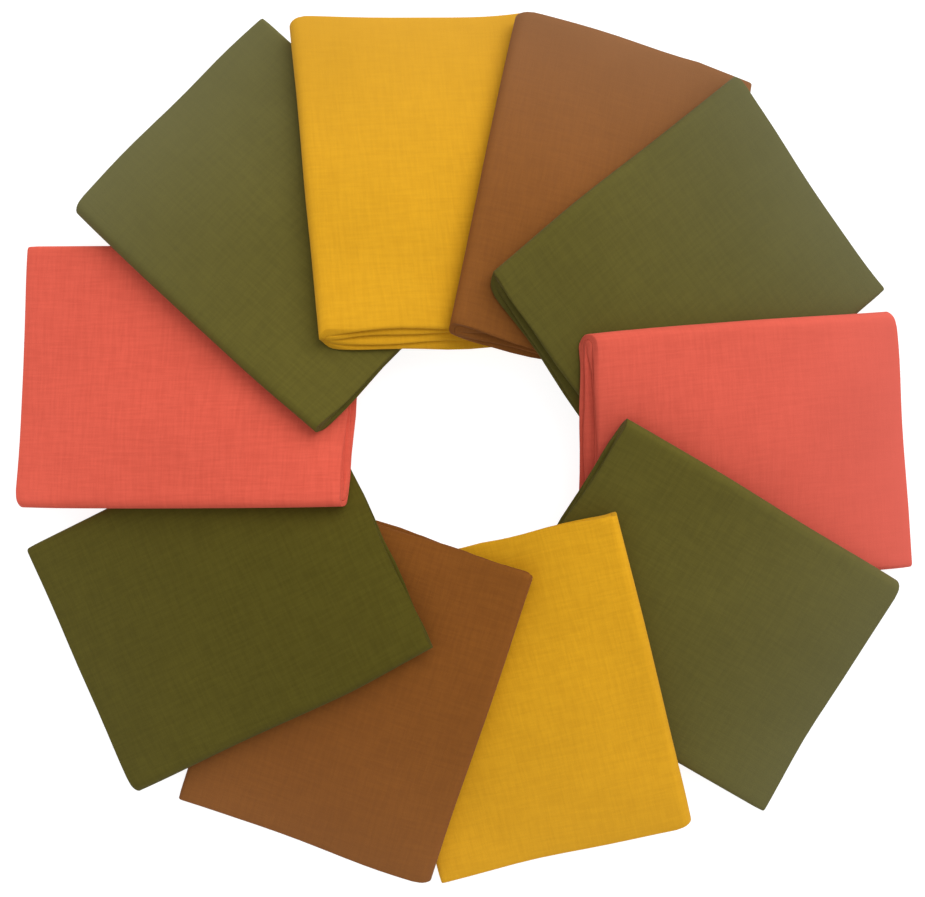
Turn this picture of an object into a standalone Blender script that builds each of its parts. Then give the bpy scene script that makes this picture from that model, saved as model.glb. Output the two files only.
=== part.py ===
"""Ten folded fat quarters of plain cotton, laid over one another in a closed ring."""

import math

import bmesh
import bpy

# Sizes of one folded fat quarter, in millimetres
LEAF = 1.9
PITCH = 2.37
HEIGHT = LEAF + 3 * PITCH
FREE_EDGE_IN = (1.0, 1.9)
NOSE_IN = 1.2
NOSE_SHARE = 0.55

# How the packets lie on one another, in millimetres
STEP = HEIGHT + 0.9
COVER_MARGIN = 5.0
DRAPE_LENGTH = 70.0
LAYERS_BELOW = 4

# Mesh steps
STEPS_ACROSS = 7
STEPS_ALONG = 8
STEPS_OUTER_BEND = 4
STEPS_SMALL_BEND = 2
MM = 0.001

# The cloth colours: linear red, green, blue, and roughness
COLOURS = {
    "mustard": (0.775, 0.392, 0.020, 0.9),
    "brown": (0.287, 0.098, 0.021, 0.9),
    "green": (0.109, 0.100, 0.012, 0.9),
    "coral": (0.745, 0.114, 0.076, 0.9),
}

# One row a packet, clockwise from the top. corner: its raised inner corner. bearing: the way it
# points, clockwise from +Y in degrees. skew: how much further its two ends are turned. slant: how
# much further in its top leaf reaches at the open edge. fan: how far its lowest leaf reaches past
# the top one at the inner end, at the fold and at the open edge.
COLUMNS = ("colour", "corner", "bearing", "long", "wide", "skew", "slant", "fan")
ROWS = (
    ("mustard", (-62.1, 47.8), -6.4, 138.8, 103.0, 3.0, -1.4, (7.8, 11.2)),
    ("brown", (-7.4, 52.4), 11.9, 140.2, 107.9, 1.7, 0.0, (6.6, 2.4)),
    ("green", (9.4, 72.2), 50.0, 139.6, 114.6, 3.7, 0.0, (2.8, 3.8)),
    ("coral", (52.3, 46.9), 84.6, 132.2, 112.8, -0.5, 6.2, (7.5, 7.3)),
    ("green", (65.4, 11.5), 119.9, 140.8, 117.0, -0.3, 0.0, (1.0, 0.8)),
    ("mustard", (61.7, -27.9), 165.2, 140.1, 113.0, 0.2, 0.0, (-0.3, 0.2)),
    ("brown", (27.2, -53.3), 197.8, 142.6, 116.7, -0.7, 0.0, (0.2, 0.6)),
    ("green", (-14.0, -84.7), 243.5, 145.1, 116.7, 0.8, 0.0, (-0.5, -0.5)),
    ("coral", (-52.9, -24.4), 269.5, 142.7, 114.5, 1.6, 0.0, (2.3, 5.1)),
    ("green", (-64.2, 6.2), 312.1, 143.9, 118.6, 0.9, 0.0, (1.6, 2.2)),
)
PACKETS = [dict(zip(COLUMNS, row)) for row in ROWS]


def axes(packet):
    """The packet's own directions on the table: along it and across it."""
    along = math.radians(packet["bearing"])
    across = math.radians(packet["bearing"] + packet["skew"])
    return (math.sin(along), math.cos(along)), (math.cos(across), -math.sin(across))


def place(packet, u, v):
    """The point of the table at u along and v across from the packet's corner."""
    (dx, dy), (ex, ey) = axes(packet)
    x, y = packet["corner"]
    return x + dx * u + ex * v, y + dy * u + ey * v


def cover(packet, x, y):
    """1 over the packet, falling smoothly to 0 at the drape length outside it."""
    (dx, dy), (ex, ey) = axes(packet)
    rx, ry = x - packet["corner"][0], y - packet["corner"][1]
    cross = dx * ey - dy * ex
    u = (rx * ey - ry * ex) / cross
    v = (dx * ry - dy * rx) / cross
    past_ends = max(-max(packet["fan"]) - COVER_MARGIN - u, u - packet["long"] - COVER_MARGIN, 0)
    past_sides = max(-COVER_MARGIN - v, v - packet["wide"] - COVER_MARGIN, 0)
    near = max(0.0, 1 - math.hypot(past_ends, past_sides) / DRAPE_LENGTH)
    return near * near * (3 - 2 * near)


def underside(index, x, y):
    """Height of the packet's underside: one step for each packet that it lies on."""
    below = (PACKETS[index - n] for n in range(1, LAYERS_BELOW + 1))
    return STEP * sum(cover(packet, x, y) for packet in below)


def bend(centre_v, centre_w, radius, start, turn, side, steps):
    """Stations inside one fold: place and the normal to its left."""
    stations = []
    for i in range(1, steps):
        angle = math.radians(start + turn * i / steps)
        out_v, out_w = math.cos(angle), math.sin(angle)
        spot = (centre_v + radius * out_v, centre_w + radius * out_w)
        stations.append((*spot, side * out_v, side * out_w))
    return stations


def section(wide):
    """The strip of cloth seen from its end: four leaves, each flat, with three folds between them."""
    low, second, third, top = (LEAF / 2 + PITCH * i for i in range(4))
    fold_v = 1.5 * PITCH + LEAF / 2
    open_v = wide - PITCH / 2 - LEAF / 2
    grid = [fold_v + (open_v - fold_v) * i / STEPS_ACROSS for i in range(STEPS_ACROSS + 1)]
    to_low, to_second = (grid[:-1] + [wide - gap] for gap in FREE_EDGE_IN)
    middle = (low + top) / 2
    path = [(v, low, 0, -1) for v in reversed(to_low)]
    path += bend(fold_v, middle, 1.5 * PITCH, -90, -180, 1, STEPS_OUTER_BEND)
    path += [(v, top, 0, 1) for v in grid]
    path += bend(open_v, (third + top) / 2, PITCH / 2, 90, -180, 1, STEPS_SMALL_BEND)
    path += [(v, third, 0, -1) for v in reversed(grid)]
    path += bend(fold_v, (second + third) / 2, PITCH / 2, 90, 180, -1, STEPS_SMALL_BEND)
    path += [(v, second, 0, 1) for v in to_second]
    return path


def outline(path, share):
    """The closed outline of the section, with its leaves at this share of their thickness."""
    half = LEAF / 2 * share
    left = [(v + nv * half, w + nw * half) for v, w, nv, nw in path]
    right = [(v - nv * half, w - nw * half) for v, w, nv, nw in path]
    return left + right[::-1]


def stations_along():
    """Places along a packet: how far past the inner end, share of the rest, share of thickness."""
    rest = [(NOSE_IN, i / STEPS_ALONG, 1.0) for i in range(STEPS_ALONG + 1)]
    return [(0.0, 0.0, NOSE_SHARE)] + rest


def packet_mesh(index):
    """One closed body: the section carried along the packet and laid over those below."""
    packet = PACKETS[index]
    path = section(packet["wide"])
    fan_fold, fan_open = packet["fan"]
    mesh = bmesh.new()
    rings = []
    for past_nose, share, thickness in stations_along():
        ring = []
        for v, w in outline(path, thickness):
            fan = fan_fold + (fan_open - fan_fold) * v / packet["wide"]
            start = past_nose - packet["slant"] * v / packet["wide"] - fan * (1 - w / HEIGHT)
            x, y = place(packet, start + (packet["long"] - start) * share, v)
            z = underside(index, x, y) + w
            ring.append((mesh.verts.new((x * MM, y * MM, z * MM)), v))
        rings.append(ring)
    count = len(rings[0])
    for ring, after in zip(rings, rings[1:]):
        for i in range(count):
            (a, v_a), (b, v_b) = ring[i], ring[(i + 1) % count]
            c, d = after[(i + 1) % count][0], after[i][0]
            halves = ((a, b, d), (b, c, d)) if v_b > v_a else ((a, b, c), (a, c, d))
            for corners in halves:
                mesh.faces.new(corners)
    for ring in (rings[0], rings[-1]):
        for i in range(count // 2 - 1):
            corners = (i, i + 1, count - 2 - i, count - 1 - i)
            mesh.faces.new([ring[n][0] for n in corners])
    bmesh.ops.triangulate(mesh, faces=[face for face in mesh.faces if len(face.verts) == 4])
    bmesh.ops.recalc_face_normals(mesh, faces=mesh.faces)
    return mesh


def cloth_material(colour):
    red, green, blue, roughness = COLOURS[colour]
    material = bpy.data.materials.new("cotton_" + colour)
    material.use_nodes = True
    shader = material.node_tree.nodes["Principled BSDF"]
    shader.inputs["Base Color"].default_value = (red, green, blue, 1.0)
    shader.inputs["Roughness"].default_value = roughness
    shader.inputs["Metallic"].default_value = 0.0
    return material


for thing in list(bpy.data.objects):
    bpy.data.objects.remove(thing)

materials = {colour: cloth_material(colour) for colour in COLOURS}
for index, packet in enumerate(PACKETS):
    name = f"fat_quarter_{index + 1:02d}_{packet['colour']}"
    data = bpy.data.meshes.new(name)
    shape = packet_mesh(index)
    shape.to_mesh(data)
    shape.free()
    data.materials.append(materials[packet["colour"]])
    bpy.context.scene.collection.objects.link(bpy.data.objects.new(name, data))
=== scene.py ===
import math

import bpy
import numpy as np
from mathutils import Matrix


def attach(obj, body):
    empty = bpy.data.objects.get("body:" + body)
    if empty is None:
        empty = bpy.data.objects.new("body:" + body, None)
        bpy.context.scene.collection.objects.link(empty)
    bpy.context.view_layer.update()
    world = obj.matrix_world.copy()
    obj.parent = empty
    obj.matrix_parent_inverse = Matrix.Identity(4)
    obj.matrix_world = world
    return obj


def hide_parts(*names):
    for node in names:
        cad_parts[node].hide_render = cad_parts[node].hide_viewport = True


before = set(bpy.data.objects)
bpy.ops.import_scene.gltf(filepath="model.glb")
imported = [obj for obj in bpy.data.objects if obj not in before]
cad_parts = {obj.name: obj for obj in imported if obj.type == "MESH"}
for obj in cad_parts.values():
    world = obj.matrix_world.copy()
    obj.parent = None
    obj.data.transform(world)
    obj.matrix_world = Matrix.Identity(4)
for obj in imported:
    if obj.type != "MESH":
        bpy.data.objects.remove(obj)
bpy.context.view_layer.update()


# The ring as it is laid. Ten folded fat quarters lie clockwise round a hole, each with its last
# fold raised on the packets before it and its open long side down on the table. Nothing holds
# them: every packet bends under its own weight over the edges of those that it lies on.

# A leaf is four plies pressed together, and STACK is the four leaves of a packet. STEP_UP is what
# one packet lifts the next by, out to COVER_MARGIN round it and then less and less over
# DRAPE_LENGTH. RIPPLE is the unevenness of cloth laid by hand, and BULGE one fuller place in it.
MM = 0.001
LEAF = 1.90 * MM
LEAF_PITCH = 2.37 * MM
STACK = LEAF + 3 * LEAF_PITCH
STEP_UP = STACK + 0.90 * MM
COVER_MARGIN = 5.0 * MM
DRAPE_LENGTH = 70.0 * MM
LAYERS_BELOW = 4
RIPPLE = 0.22 * MM
BULGE, BULGE_PLACE, BULGE_WIDTH = 0.9 * MM, (0.045, -0.112), 0.020

# corner: raised inner corner. bearing: clockwise from +Y. skew: how much further the two ends are
# turned. slant: how much further in the top leaf reaches at its open side. fan: reach of the
# lowest leaf past the top one, at the fold and at the open side, and how far back the leaf under
# the top one lies. bow: how far the outer end and the fold swell at their middles, and how far the
# fold is drawn in at the inner end. nip: how far three corners are rounded off, the inner one at
# the fold and the outer ones at the fold and at the open side. tone: how light the packet is
# painted, partly its dye and partly painted light and shade for where it lies in the ring.
# painted_glare: how much painted glare pales its outer end. Lengths in millimetres, angles in degrees.
COLUMNS = ("corner", "bearing", "long", "wide", "skew", "slant", "fan", "bow", "nip", "tone", "painted_glare")
LAID = (
    ((-62.1, 47.8), -6.4, 138.8, 103.0, 3.0, -1.4,
     (7.8, 11.2, 0.6), (-1.6, 0.7, 0.0), (2.6, 3.0, 0.0), 0.99, 0.80),
    ((-7.6, 51.6), 11.9, 141.0, 107.9, 1.7, 0.0,
     (4.6, 2.6, 1.9), (-0.4, 0.3, 0.0), (1.2, 2.5, 4.0), 0.98, 0.90),
    ((10.1, 72.8), 50.0, 138.7, 114.6, 3.7, 0.0,
     (5.0, 5.1, 1.8), (-2.6, 0.4, 0.0), (3.4, 1.2, 0.0), 0.95, 0.74),
    ((52.3, 46.9), 84.6, 132.2, 112.8, -0.5, 6.2,
     (7.5, 7.3, 1.9), (1.1, 0.8, 0.0), (0.4, 1.6, 0.0), 0.98, 0.85),
    ((65.4, 11.5), 119.9, 140.8, 117.0, -0.3, 0.0,
     (1.0, 0.8, 0.6), (0.2, 1.1, 0.0), (0.0, 1.2, 0.0), 1.00, 0.58),
    ((61.3, -26.6), 165.2, 141.5, 113.0, 0.2, -0.8,
     (-0.3, 0.2, 0.4), (0.1, 0.6, 0.0), (0.0, 2.2, 0.0), 1.01, 0.35),
    ((27.2, -53.3), 197.8, 142.6, 116.7, -0.7, 0.0,
     (0.2, 0.6, 0.4), (0.6, -0.1, 0.0), (0.0, 1.5, 0.0), 0.98, 0.38),
    ((-14.0, -84.7), 243.5, 145.1, 116.7, 0.8, 0.0,
     (-0.5, -0.5, 0.4), (1.0, 1.2, 1.9), (0.0, 1.2, 0.0), 0.86, 0.12),
    ((-52.9, -24.4), 269.5, 142.7, 114.5, 1.6, 0.0,
     (2.3, 5.1, 0.8), (1.1, 1.1, 0.0), (0.6, 1.5, 0.0), 1.08, 0.20),
    ((-64.2, 6.2), 312.1, 143.9, 118.6, 0.9, 0.0,
     (1.6, 2.2, 0.6), (2.6, 1.1, 0.4), (0.3, 1.2, 0.0), 1.07, 0.66),
)
RING = [dict(zip(COLUMNS, row)) for row in LAID]


def ease(x):
    x = np.clip(x, 0, 1)
    return x * x * (3 - 2 * x)


def directions(packet):
    along = math.radians(packet["bearing"])
    across = math.radians(packet["bearing"] + packet["skew"])
    return (math.sin(along), math.cos(along)), (math.cos(across), -math.sin(across))


def on_table(packet, u, v):
    """The point of the table at u along and v across from the packet's raised inner corner."""
    (dx, dy), (ex, ey) = directions(packet)
    x, y = (at * MM for at in packet["corner"])
    return x + dx * u + ex * v, y + dy * u + ey * v


def lift(packet, x, y):
    """How far this packet lifts what lies at x, y on top: 1 over it, less and less beside it."""
    (dx, dy), (ex, ey) = directions(packet)
    rx, ry = (value - at * MM for value, at in zip((x, y), packet["corner"]))
    cross = dx * ey - dy * ex
    u = (rx * ey - ry * ex) / cross
    v = (dx * ry - dy * rx) / cross
    past_ends = np.maximum(-max(packet["fan"][:2]) * MM - u, u - packet["long"] * MM)
    past_sides = np.maximum(-v, v - packet["wide"] * MM)
    past_ends, past_sides = (np.maximum(past - COVER_MARGIN, 0) for past in (past_ends, past_sides))
    return ease(1 - np.hypot(past_ends, past_sides) / DRAPE_LENGTH)


def laid_height(index, x, y, w):
    """Height of a point w above its packet's underside, once the ring has settled."""
    z = w + STEP_UP * sum(lift(RING[index - n], x, y) for n in range(1, LAYERS_BELOW + 1))
    ripple = RIPPLE * (np.sin(x / 0.0130 + y / 0.0210) + np.sin(y / 0.0110 - x / 0.0190 + 1.3))
    off_centre = np.hypot(x - BULGE_PLACE[0], y - BULGE_PLACE[1]) / BULGE_WIDTH
    return z + (ripple + BULGE * np.exp(-(off_centre**2))) * ease(z / (12 * MM))


# The loose threads of every cut. Plain-weave cotton ravels where it is cut, so short ends of its
# own thread stand along the four raw edges, each leaning and cut a little otherwise. The weave holds
# them, and they are folded in and laid with the cloth.

THREAD = {"Spacing": 0.9 * MM, "Length": 1.1 * MM, "Thickness": 0.05 * MM, "Spread": 0.45}
SHORTEST = 0.25


def thread_tree():
    """Nodes that stand a thread end at every step along the edges, pointing away from the cloth."""
    tree = bpy.data.node_groups.new("loose_threads", "GeometryNodeTree")
    tree.interface.new_socket("Geometry", in_out="INPUT", socket_type="NodeSocketGeometry")
    tree.interface.new_socket("Geometry", in_out="OUTPUT", socket_type="NodeSocketGeometry")
    kinds = {**dict.fromkeys(THREAD, "Float"), "Seed": "Int", "Cloth": "Material"}
    for title, kind in kinds.items():
        tree.interface.new_socket(title, in_out="INPUT", socket_type="NodeSocket" + kind)

    def node(kind, sockets=(), **settings):
        made = tree.nodes.new(kind)
        for key, value in settings.items():
            setattr(made, key, value)
        for key, value in dict(sockets).items():
            if isinstance(value, bpy.types.NodeSocket):
                tree.links.new(value, made.inputs[key])
            else:
                made.inputs[key].default_value = value
        return made

    given = node("NodeGroupInput").outputs
    seed = {"Seed": given["Seed"]}
    edges = node("GeometryNodeMeshToCurve", {"Mesh": given["Geometry"]}).outputs[0]
    steps = {"Curve": edges, "Length": given["Spacing"]}
    spots = node("GeometryNodeResampleCurve", steps, mode="LENGTH")
    away = node("GeometryNodeInputNamedAttribute", {"Name": "away"}, data_type="FLOAT_VECTOR")
    stray = node("FunctionNodeRandomValue", seed, data_type="FLOAT_VECTOR")
    stray.inputs["Min"].default_value = (-1, -1, -1)
    amount = {0: stray.outputs[0], "Scale": given["Spread"]}
    lean = node("ShaderNodeVectorMath", amount, operation="SCALE")
    way = node("ShaderNodeVectorMath", {0: away.outputs[0], 1: lean.outputs[0]}, operation="ADD")
    turn = node("FunctionNodeAlignRotationToVector", {"Vector": way.outputs[0]}, axis="Z")
    cut = node("FunctionNodeRandomValue", seed, data_type="FLOAT")
    cut.inputs[2].default_value = SHORTEST
    size = node("ShaderNodeCombineXYZ", {"X": 1.0, "Y": 1.0, "Z": cut.outputs[1]})
    thread = node("GeometryNodeMeshCone", {
        "Vertices": 3, "Radius Top": given["Thickness"], "Radius Bottom": given["Thickness"],
        "Depth": given["Length"],
    }, fill_type="NONE")
    stood = node("GeometryNodeInstanceOnPoints", {
        "Points": spots.outputs[0], "Instance": thread.outputs[0], "Rotation": turn.outputs[0],
        "Scale": size.outputs[0],
    })
    real = node("GeometryNodeRealizeInstances", {"Geometry": stood.outputs[0]})
    dyed = node("GeometryNodeSetMaterial", {"Geometry": real.outputs[0], "Material": given["Cloth"]})
    node("NodeGroupOutput", {"Geometry": dyed.outputs[0]})
    return tree


THREADS = thread_tree()


def loose_threads(name, number, cloth, tone, material):
    """The thread ends of one cut: cloth is the grid of places on it, whose border is the raw edge."""
    turned, rims = np.swapaxes(cloth, 0, 1), ((0, 1), (-1, -2))
    edges = [(side[rim], side[inner]) for side in (cloth, turned) for rim, inner in rims]
    spots = np.concatenate([edge for edge, _ in edges])
    away = np.concatenate([edge - inside for edge, inside in edges])
    away = away / np.linalg.norm(away, axis=1)[:, None]
    starts = np.cumsum([0] + [len(edge) for edge, _ in edges])
    pairs = [(i, i + 1) for a, b in zip(starts, starts[1:]) for i in range(a, b - 1)]
    mesh = bpy.data.meshes.new(name)
    mesh.from_pydata(spots.tolist(), pairs, [])
    mesh.attributes.new("away", "FLOAT_VECTOR", "POINT").data.foreach_set("vector", away.ravel())
    threads = bpy.data.objects.new(name, mesh)
    bpy.context.scene.collection.objects.link(threads)
    modifier = threads.modifiers.new("threads", "NODES")
    modifier.node_group = THREADS
    keys = {s.name: s.identifier for s in THREADS.interface.items_tree if s.in_out == "INPUT"}
    for title, value in {**THREAD, "Seed": number, "Cloth": material}.items():
        modifier[keys[title]] = value
    evaluated = threads.evaluated_get(bpy.context.evaluated_depsgraph_get())
    solid = bpy.data.meshes.new_from_object(evaluated)
    threads.modifiers.clear()
    threads.data = solid
    bpy.data.meshes.remove(mesh)
    solid.name = name
    solid.uv_layers.new(name="weave")
    # The threads take their packet's tone: its dye with painted light and shade for where it lies.
    dye_and_shade = solid.attributes.new("tone", "FLOAT", "POINT")
    dye_and_shade.data.foreach_set("value", np.full(len(solid.vertices), tone, np.float32))
    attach(threads, "root")
    return threads


# The mustard fat quarters, at the top and bottom right of the ring. Each is one cut of plain-weave
# quilting cotton, 18 by 22 in, folded in half twice one way to a strip of four plies and twice the
# other way to a packet of sixteen. Three of its edges are folds and the cut edges lie inside.

# CUT is the flat sheet in metres. The plies fold along the packet and the leaves across it, and
# the two cut edges of each folded strip lie in from its mouth by EDGES_IN. THIRD_LEAF is the
# middle of the leaf under the top one, as a share of the stack.
CLOTH = 0.30 * MM
PLY_PITCH = 0.50 * MM
PLY_DEPTH = CLOTH + 3 * PLY_PITCH
PLY_EDGES_IN = (0.5 * MM, 1.1 * MM)
LEAF_EDGES_IN = (1.0 * MM, 1.9 * MM)
THIRD_LEAF = (LEAF / 2 + 2 * LEAF_PITCH) / STACK
THREAD_PITCH = 0.30 * MM

# The slack, as waves. Over the rolled ends: height in millimetres, length, and how much further on
# it is for a leaf and for a packet. Between the leaves: share, lengths across and along, and how
# much further on it is for a packet.
WAVES_INSIDE = ((0.55, 0.0170, 5.1, 1), (0.35, 0.0072, -7.3, 2))
WAVES_OUTSIDE = ((0.22, 0.0230, -4.4, 3), (0.12, 0.0090, 6.0, 1))
WAVES_BETWEEN = ((1.0, 0.028, 0.043, 1), (0.6, 0.013, -0.030, 2))
GAP_WAVE, WANDER, WANDER_LENGTH = 0.20, 0.25, 0.026

# How far the rounded corners reach along their edge: inner and outer at the fold, outer at the
# open side. Then shares of a leaf's thickness: how much flatter its inner folded ends are pressed
# and how unevenly, how much flatter its outer ones, and how much fuller it is at the long fold.
# Beside that fold the ends are squared off and set back, as shares of their roundness.
NIP_REACH = (11 * MM, 9 * MM, 26 * MM)
PRESS_INSIDE, PRESS_UNEVEN, PRESS_OUTSIDE, FULLER = 0.50, 0.16, 0.20, 0.24
SQUARED, SET_BACK = 0.85, 0.5

# How much further on the slack, the pressing and the weave are from one packet to the next.
SLACK_ON, PRESS_ON, WEAVE_ON = 1.7, 2.3, 0.37

# Shares: painted shade on the plies' folds at the inner end, painted glare that pales the outer end
# (where it starts, and its power), and painted highlight along the leaf creases.
INNER_FOLD_SHADE, GLARE_FROM, GLARE_POWER, CREASE_HIGHLIGHT = 0.14, 0.2, 2.6, 0.15


def folded_twice(wide, thick, pitch, steps, free_in, bends):
    """A strip folded in half twice, seen from its end: places, normals, lengths and creases."""
    low, second, third, top = (thick / 2 + pitch * i for i in range(4))
    fold, mouth = 1.5 * pitch + thick / 2, wide - pitch / 2 - thick / 2
    run = fold + (mouth - fold) * ease_in_out(np.linspace(0, 1, steps + 1))
    stations = []

    def leaf(places, height, up):
        stations.extend((a, height, 0.0, up, 0.0) for a in places)

    def turn(centre, height, radius, start, sweep, side, count):
        for i in range(1, count):
            angle = math.radians(start + sweep * i / count)
            ca, sa = math.cos(angle), math.sin(angle)
            crease = math.sin(math.pi * i / count)
            stations.append((centre + radius * ca, height + radius * sa, side * ca, side * sa, crease))

    leaf([*run[:-1], wide - free_in[0]][::-1], low, -1.0)
    turn(fold, (low + top) / 2, 1.5 * pitch, -90, -180, 1, bends[0])
    leaf(run, top, 1.0)
    turn(mouth, (third + top) / 2, pitch / 2, 90, -180, 1, bends[1])
    leaf(run[::-1], third, -1.0)
    turn(fold, (second + third) / 2, pitch / 2, 90, 180, -1, bends[1])
    leaf([*run[:-1], wide - free_in[1]], second, 1.0)
    table = np.array(stations)
    step = np.hypot(*np.diff(table[:, :2], axis=0).T)
    return table.T, np.concatenate([[0], np.cumsum(step)])


def ease_in_out(share):
    """Stations a little closer together near the two ends, where the leaves roll over."""
    return share - 0.09 * np.sin(2 * math.pi * share)


def rolls(waves, v, up, phase):
    """How far in a rolled end lies, in millimetres, v across and up through the packet."""
    return sum(
        height * np.sin(v / long + leaf_on * up + on * phase) for height, long, leaf_on, on in waves
    )


def settle(packet, phase, u, v, w):
    """The slack of a hand-folded packet: fanned leaves, uneven rolls, bowed sides, nipped corners."""
    long, wide = packet["long"] * MM, packet["wide"] * MM
    along, across, up = u / long, np.clip(v / wide, 0, 1), w / STACK
    inner, outer = ease(1 - along * 3), ease(along * 3 - 2)
    fan_fold, fan_open, lies_back = packet["fan"]
    bow_end, bow_fold, drawn_in = packet["bow"]
    nip_in, nip_fold, nip_open = packet["nip"]
    reach_in, reach_fold, reach_open = NIP_REACH
    fan = (fan_fold + (fan_open - fan_fold) * across) * MM
    slant = packet["slant"] * MM * across
    slack = rolls(WAVES_INSIDE, v, up, phase) * inner + rolls(WAVES_OUTSIDE, v, up, phase) * outer
    new_u = u - (slant + fan * (1 - up)) * (1 - along) + slack * MM
    new_u = new_u + bow_end * MM * 4 * across * (1 - across) * ease(along)

    at_fold = np.clip(1 - v / reach_fold, 0, 1) ** 2
    at_open = np.clip(1 - (wide - v) / reach_open, 0, 1)
    new_u = new_u - nip_fold * MM * at_fold * ease(along * 8 - 7)
    new_u = new_u - nip_open * MM * at_open * ease(along * 4 - 3)
    new_u = new_u + nip_in * MM * (1 - up) * np.clip(1 - v / reach_in, 0, 1) ** 2 * inner
    in_third = 1 - ease((np.abs(up - THIRD_LEAF) - 0.11) / 0.04)
    new_u = new_u + lies_back * MM * in_third * ease((v - 0.005) / 0.012) * inner

    wander = WANDER * np.sin(u / WANDER_LENGTH + phase)
    swell = bow_fold * 4 * along * (1 - along) - drawn_in * (1 - ease(along * 3))
    new_v = v - (swell + wander) * (1 - across) * MM
    gap = sum(
        share * np.sin(v / over + u / down + on * phase) for share, over, down, on in WAVES_BETWEEN
    )
    new_w = w + GAP_WAVE * MM * gap * np.sin(2 * math.pi * up) * ease(v / 0.014)
    return new_u, new_v, new_w


def pressed(u, v, w, long, phase):
    """Share of a leaf's thickness left: its folded ends are pressed flatter, its long fold is full."""
    inside = PRESS_INSIDE + PRESS_UNEVEN * np.sin(v / 0.019 + w / 0.0011 + phase)
    ends = inside * (1 - ease(u / 0.009)) + PRESS_OUTSIDE * (1 - ease((long - u) / 0.004))
    fuller = 1 + FULLER * (1 - ease((v - 0.003) / 0.009))
    return (1 - ends * ease((v - 0.006) / 0.012)) * fuller


def blunted(u, v):
    """The folded ends stand square beside the long fold and round out further along."""
    nose, square = PLY_DEPTH / 2, 1 - ease((v - 0.005) / 0.009)
    moved = SQUARED * np.clip(nose - u, 0, None) - SET_BACK * nose * (1 - ease(u / 0.010))
    return u + square * moved


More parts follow.
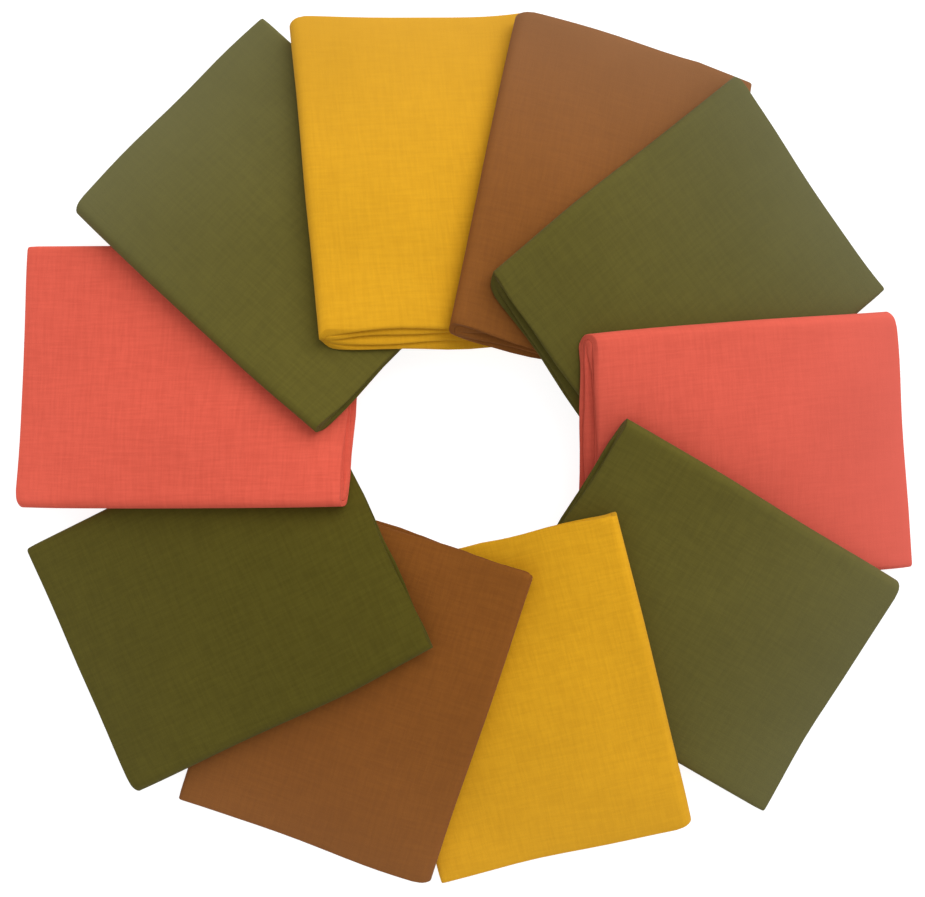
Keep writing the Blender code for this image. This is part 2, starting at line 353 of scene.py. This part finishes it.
def cotton(name, light, dark, glare_colour):
    """Plain-weave cotton: threads both ways with slubs in them, matt, with painted glare to the outer
    end.
    """
    material = bpy.data.materials.new(name)
    material.use_nodes = True
    tree = material.node_tree
    shader = tree.nodes["Principled BSDF"]

    def node(kind, **inputs):
        made = tree.nodes.new("ShaderNode" + kind)
        for key, value in inputs.items():
            made.inputs[key].default_value = value
        return made

    def link(source, target):
        tree.links.new(source, target)
        return target

    def sums(operation, *values):
        made = tree.nodes.new("ShaderNodeMath")
        made.operation = operation
        for socket, value in zip(made.inputs, values):
            if isinstance(value, (int, float)):
                socket.default_value = value
            else:
                link(value, socket)
        return made.outputs[0]

    def blend(share, first, second, way="MIX"):
        """Mix of two colours: its sockets 0, 6 and 7 are the share and the colours."""
        made = tree.nodes.new("ShaderNodeMix")
        made.data_type = "RGBA"
        made.blend_type = way
        sockets = (made.inputs[0], made.inputs[6], made.inputs[7])
        for socket, value in zip(sockets, (share, first, second)):
            if isinstance(value, (int, float, tuple)):
                socket.default_value = value
            else:
                link(value, socket)
        return made.outputs[2]

    weave = tree.nodes.new("ShaderNodeUVMap")
    weave.uv_map = "weave"

    def streaks(along, across, detail, soft):
        """Uneven streaks in the weave: how many to a metre both ways, detail, softness."""
        place = node("Mapping", Scale=(along, across, 1.0))
        link(weave.outputs["UV"], place.inputs["Vector"])
        noise = node("TexNoise", Scale=1.0, Detail=detail, Roughness=0.6)
        link(place.outputs["Vector"], noise.inputs["Vector"])
        ramp = node("MapRange", **{"From Min": 0.5 - soft, "From Max": 0.5 + soft})
        link(noise.outputs["Fac"], ramp.inputs["Value"])
        return ramp.outputs["Result"]

    # Uneven threads each way, thicker slubs among them, and a soft mottle over the whole.
    warp = streaks(110.0, 1250.0, 2.0, 0.14)
    weft = streaks(1150.0, 95.0, 2.0, 0.14)
    slub_warp = streaks(60.0, 620.0, 1.0, 0.10)
    slub_weft = streaks(560.0, 52.0, 1.0, 0.10)
    mottle = streaks(38.0, 46.0, 3.0, 0.30)
    threads = sums("MULTIPLY", sums("ADD", warp, weft), 0.5)
    slubs = sums("MULTIPLY", sums("ADD", slub_warp, slub_weft), 0.5)

    drift = node("TexNoise", Scale=160.0, Detail=2.0)
    link(weave.outputs["UV"], drift.inputs["Vector"])
    split, apart = (tree.nodes.new("ShaderNodeSeparateXYZ") for _ in range(2))
    link(weave.outputs["UV"], split.inputs[0])
    link(drift.outputs["Color"], apart.inputs[0])

    def ridges(axis):
        """The rounded tops of the threads that lie one way, drifting a little from straight."""
        wander = sums("MULTIPLY", apart.outputs[axis], 9.0)
        turns = sums("MULTIPLY", split.outputs[axis], math.pi / THREAD_PITCH)
        return sums("SINE", sums("ADD", turns, wander))

    crossing = sums("ABSOLUTE", sums("MULTIPLY", ridges("X"), ridges("Y")))

    # Attributes: painted glare to the outer end, creases for a painted highlight, and each packet's
    # dye darkened by painted shade.
    painted_glare, crease, dye_and_shade = (tree.nodes.new("ShaderNodeAttribute") for _ in range(3))
    for attribute, title in ((painted_glare, "painted_glare"), (crease, "crease"), (dye_and_shade, "tone")):
        attribute.attribute_name = title

    tone = sums("ADD", sums("MULTIPLY", threads, 0.50), sums("MULTIPLY", slubs, 0.50))
    colour = blend(tone, dark, light)
    shade = sums("ADD", 0.965, sums("MULTIPLY", mottle, 0.07))
    # Painted shade in the gaps between the threads.
    gap_shade = sums("ADD", 0.93, sums("MULTIPLY", crossing, 0.17))
    both = tree.nodes.new("ShaderNodeCombineColor")
    for socket in both.inputs[:3]:
        link(sums("MULTIPLY", sums("MULTIPLY", shade, gap_shade), dye_and_shade.outputs["Fac"]), socket)
    # Painted glare pales the colour towards the outer end.
    colour = blend(painted_glare.outputs["Fac"], colour, glare_colour)
    # Painted highlight along the leaf creases, in the lighter thread colour.
    crease_highlight = sums("MULTIPLY", crease.outputs["Fac"], CREASE_HIGHLIGHT)
    colour = blend(crease_highlight, colour, light)
    link(blend(1.0, colour, both.outputs[0], "MULTIPLY"), shader.inputs["Base Color"])

    fine = node("Bump", Strength=0.5, Distance=0.00007)
    relief = sums("ADD", sums("MULTIPLY", crossing, 0.7), sums("MULTIPLY", threads, 0.8))
    link(relief, fine.inputs["Height"])
    soft = node("Bump", Strength=0.35, Distance=0.0005)
    link(mottle, soft.inputs["Height"])
    link(soft.outputs["Normal"], fine.inputs["Normal"])
    link(fine.outputs["Normal"], shader.inputs["Normal"])

    rough = node("MapRange", **{"To Min": 0.82, "To Max": 0.96})
    link(threads, rough.inputs["Value"])
    link(rough.outputs["Result"], shader.inputs["Roughness"])
    shader.inputs["Metallic"].default_value = 0.0
    shader.inputs["Specular IOR Level"].default_value = 0.10
    shader.inputs["Sheen Weight"].default_value = 0.04
    shader.inputs["Sheen Roughness"].default_value = 0.45
    return material


def skin(rows, columns):
    """Four-cornered faces of both sides of a sheet and of its four cut edges."""
    top = np.arange(rows * columns).reshape(rows, columns)
    under = top + rows * columns
    faces = (
        (top[:-1, :-1], top[:-1, 1:], top[1:, 1:], top[1:, :-1]),
        (under[:-1, :-1], under[1:, :-1], under[1:, 1:], under[:-1, 1:]),
        (top[0, 1:], top[0, :-1], under[0, :-1], under[0, 1:]),
        (top[-1, :-1], top[-1, 1:], under[-1, 1:], under[-1, :-1]),
        (top[:-1, 0], top[1:, 0], under[1:, 0], under[:-1, 0]),
        (top[1:, -1], top[:-1, -1], under[:-1, -1], under[1:, -1]),
    )
    return np.concatenate([np.stack(corners, -1).reshape(-1, 4) for corners in faces])


def mesh_volume(mesh):
    """Six times the volume inside the mesh: below zero if its faces point inwards."""
    mesh.calc_loop_triangles()
    spots = np.empty(len(mesh.vertices) * 3)
    mesh.vertices.foreach_get("co", spots)
    index = np.empty(len(mesh.loop_triangles) * 3, np.int32)
    mesh.loop_triangles.foreach_get("vertices", index)
    a, b, c = np.moveaxis(spots.reshape(-1, 3)[index.reshape(-1, 3)], 1, 0)
    return float((a * np.cross(b, c)).sum())


def fat_quarter(number, colour, material):
    """One whole cut, 18 by 22 in, folded to sixteen plies and laid in its place in the ring."""
    index = number - 1
    packet = RING[index]
    long, wide = packet["long"] * MM, packet["wide"] * MM
    plies, ply_run = folded_twice(long, CLOTH, PLY_PITCH, 20, PLY_EDGES_IN, (8, 5))
    leaves, leaf_run = folded_twice(wide, LEAF, LEAF_PITCH, 16, LEAF_EDGES_IN, (10, 6))
    u0, n0, un, nn, ply_crease = (row[:, None] for row in plies)
    v0, w0, vn, wn, leaf_crease = (row[None, :] for row in leaves)
    points = []
    for side in (1, -1):
        u = blunted(u0 + side * un * CLOTH / 2 + 0 * v0, v0)
        flat = pressed(u0, v0, w0, long, PRESS_ON * number)
        n = (n0 - PLY_DEPTH / 2 + side * nn * CLOTH / 2) * flat
        u, v, w = settle(packet, SLACK_ON * number, u, v0 + vn * n, w0 + wn * n)
        x, y = on_table(packet, u, v)
        points.append(np.stack([x, y, laid_height(index, x, y, w)], -1).reshape(-1, 3))
    shape = len(ply_run), len(leaf_run)
    name = f"cloth_{number:02d}_{colour}"
    mesh = bpy.data.meshes.new(name)
    mesh.from_pydata(np.concatenate(points).tolist(), [], skin(*shape).tolist())
    if mesh_volume(mesh) < 0:
        mesh.flip_normals()
    cut = np.stack(np.broadcast_arrays(ply_run[:, None], leaf_run[None, :]), -1).reshape(-1, 2)
    cut = np.concatenate([cut, cut]) + WEAVE_ON * number
    corners = np.empty(len(mesh.loops), np.int32)
    mesh.loops.foreach_get("vertex_index", corners)
    mesh.uv_layers.new(name="weave").data.foreach_set("uv", cut[corners].ravel().astype(np.float32))
    # Painted glare grows towards the outer end, and the packet's tone is darkened by painted shade on
    # the plies' folds at its inner end.
    along = np.clip(u0 / long, 0, 1)
    painted_glare = packet["painted_glare"] * (GLARE_FROM + (1 - GLARE_FROM) * along**GLARE_POWER)
    tone = packet["tone"] * (1 - INNER_FOLD_SHADE * ply_crease * (1 - along))
    for title, values in (("painted_glare", painted_glare), ("crease", leaf_crease), ("tone", tone)):
        layer = mesh.attributes.new(title, "FLOAT", "POINT")
        both_faces = np.tile(np.broadcast_to(values, shape).ravel(), 2)
        layer.data.foreach_set("value", both_faces.astype(np.float32))
    mesh.shade_smooth()
    mesh.set_sharp_from_angle(angle=math.radians(70))
    mesh.materials.append(material)
    cloth = bpy.data.objects.new(name, mesh)
    bpy.context.scene.collection.objects.link(cloth)
    middle = (points[0] + points[1]).reshape(*shape, 3) / 2
    threads = loose_threads(f"threads_{number:02d}_{colour}", number, middle, packet["tone"], material)
    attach(cloth, "root")
    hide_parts(f"fat_quarter_{number:02d}_{colour}")


mustard = cotton(
    "mustard_cotton",
    light=(0.722, 0.363, 0.012, 1.0),
    dark=(0.612, 0.293, 0.007, 1.0),
    glare_colour=(0.595, 0.308, 0.027, 1.0),
)
for number, below in ((1, "cloth_10_green"), (6, "cloth_05_green")):
    fat_quarter(number, "mustard", mustard)


# The brown fat quarters, the second from the top and the one at the bottom. The same cotton,
# dyed a warm tan brown, that looks a little mauve where it catches the light at its outer end.

brown = cotton(
    "brown_cotton",
    light=(0.248, 0.082, 0.010, 1.0),
    dark=(0.197, 0.061, 0.007, 1.0),
    glare_colour=(0.246, 0.111, 0.047, 1.0),
)
for number, below in ((2, "cloth_01_mustard"), (7, "cloth_06_mustard")):
    fat_quarter(number, "brown", brown)


# The olive green fat quarters, four of the ten. Each is the same cut of the same cotton in a dark
# yellow green, folded alike and laid on the piece that comes before it.

green = cotton(
    "green_cotton",
    light=(0.109, 0.090, 0.009, 1.0),
    dark=(0.082, 0.066, 0.005, 1.0),
    glare_colour=(0.134, 0.129, 0.061, 1.0),
)
lies_on = ((3, "cloth_02_brown"), (5, "cloth_04_coral"), (8, "cloth_07_brown"), (10, "cloth_09_coral"))
for number, below in lies_on:
    fat_quarter(number, "green", green)


# The coral fat quarters, at the right and the left. Each is the same cut of the same cotton in a
# soft orange red, folded alike and laid on the green piece before it.

coral = cotton(
    "coral_cotton",
    light=(0.680, 0.105, 0.064, 1.0),
    dark=(0.578, 0.080, 0.048, 1.0),
    glare_colour=(0.680, 0.122, 0.090, 1.0),
)
for number, below in ((4, "cloth_03_green"), (9, "cloth_08_green")):
    fat_quarter(number, "coral", coral)


# The white table that the ring was laid on, with soft light all round, a window beyond its top
# right corner, and a camera straight above the middle of the ring.

bpy.ops.mesh.primitive_plane_add(size=6.0, location=(0, 0, -0.0004))
table = bpy.context.object
table.name = "white_table"
white = bpy.data.materials.new("white_table")
white.use_nodes = True
paint = white.node_tree.nodes["Principled BSDF"].inputs
paint["Base Color"].default_value = (0.30, 0.30, 0.30, 1.0)
paint["Roughness"].default_value = 0.8
paint["Emission Color"].default_value = (1.0, 1.0, 1.0, 1.0)
paint["Emission Strength"].default_value = 0.86
table.data.materials.append(white)

sky = bpy.data.worlds.new("soft_room")
sky.use_nodes = True
sky.node_tree.nodes["Background"].inputs["Color"].default_value = (1.0, 1.0, 1.0, 1.0)
sky.node_tree.nodes["Background"].inputs["Strength"].default_value = 0.72
bpy.context.scene.world = sky
bpy.context.scene.view_settings.view_transform = "Standard"

for title, spot, size, power in (
    ("overhead", (0.05, 0.15, 1.6), 1.6, 1.0),
    ("window", (0.53, 0.76, 0.84), 1.2, 10.6),
):
    light = bpy.data.lights.new(title, "AREA")
    light.shape = "DISK"
    light.size = size
    light.energy = power
    lamp = bpy.data.objects.new(title, light)
    lamp.location = spot
    tilt = math.atan2(math.hypot(spot[0], spot[1]), spot[2])
    lamp.rotation_euler = (tilt, 0, math.atan2(spot[0], -spot[1]))
    bpy.context.scene.collection.objects.link(lamp)

# FOCUS is the focal length in pixels of a photo that is PHOTO_WIDE pixels wide.
FOCUS, PHOTO_WIDE, SENSOR = 1067, 925, 36.0
view = bpy.data.cameras.new("overhead_camera")
view.sensor_width = SENSOR
view.lens = SENSOR * FOCUS / PHOTO_WIDE
camera = bpy.data.objects.new("overhead_camera", view)
camera.location = (-0.0024, -0.0004, 0.478)
bpy.context.scene.collection.objects.link(camera)
bpy.context.scene.camera = camera
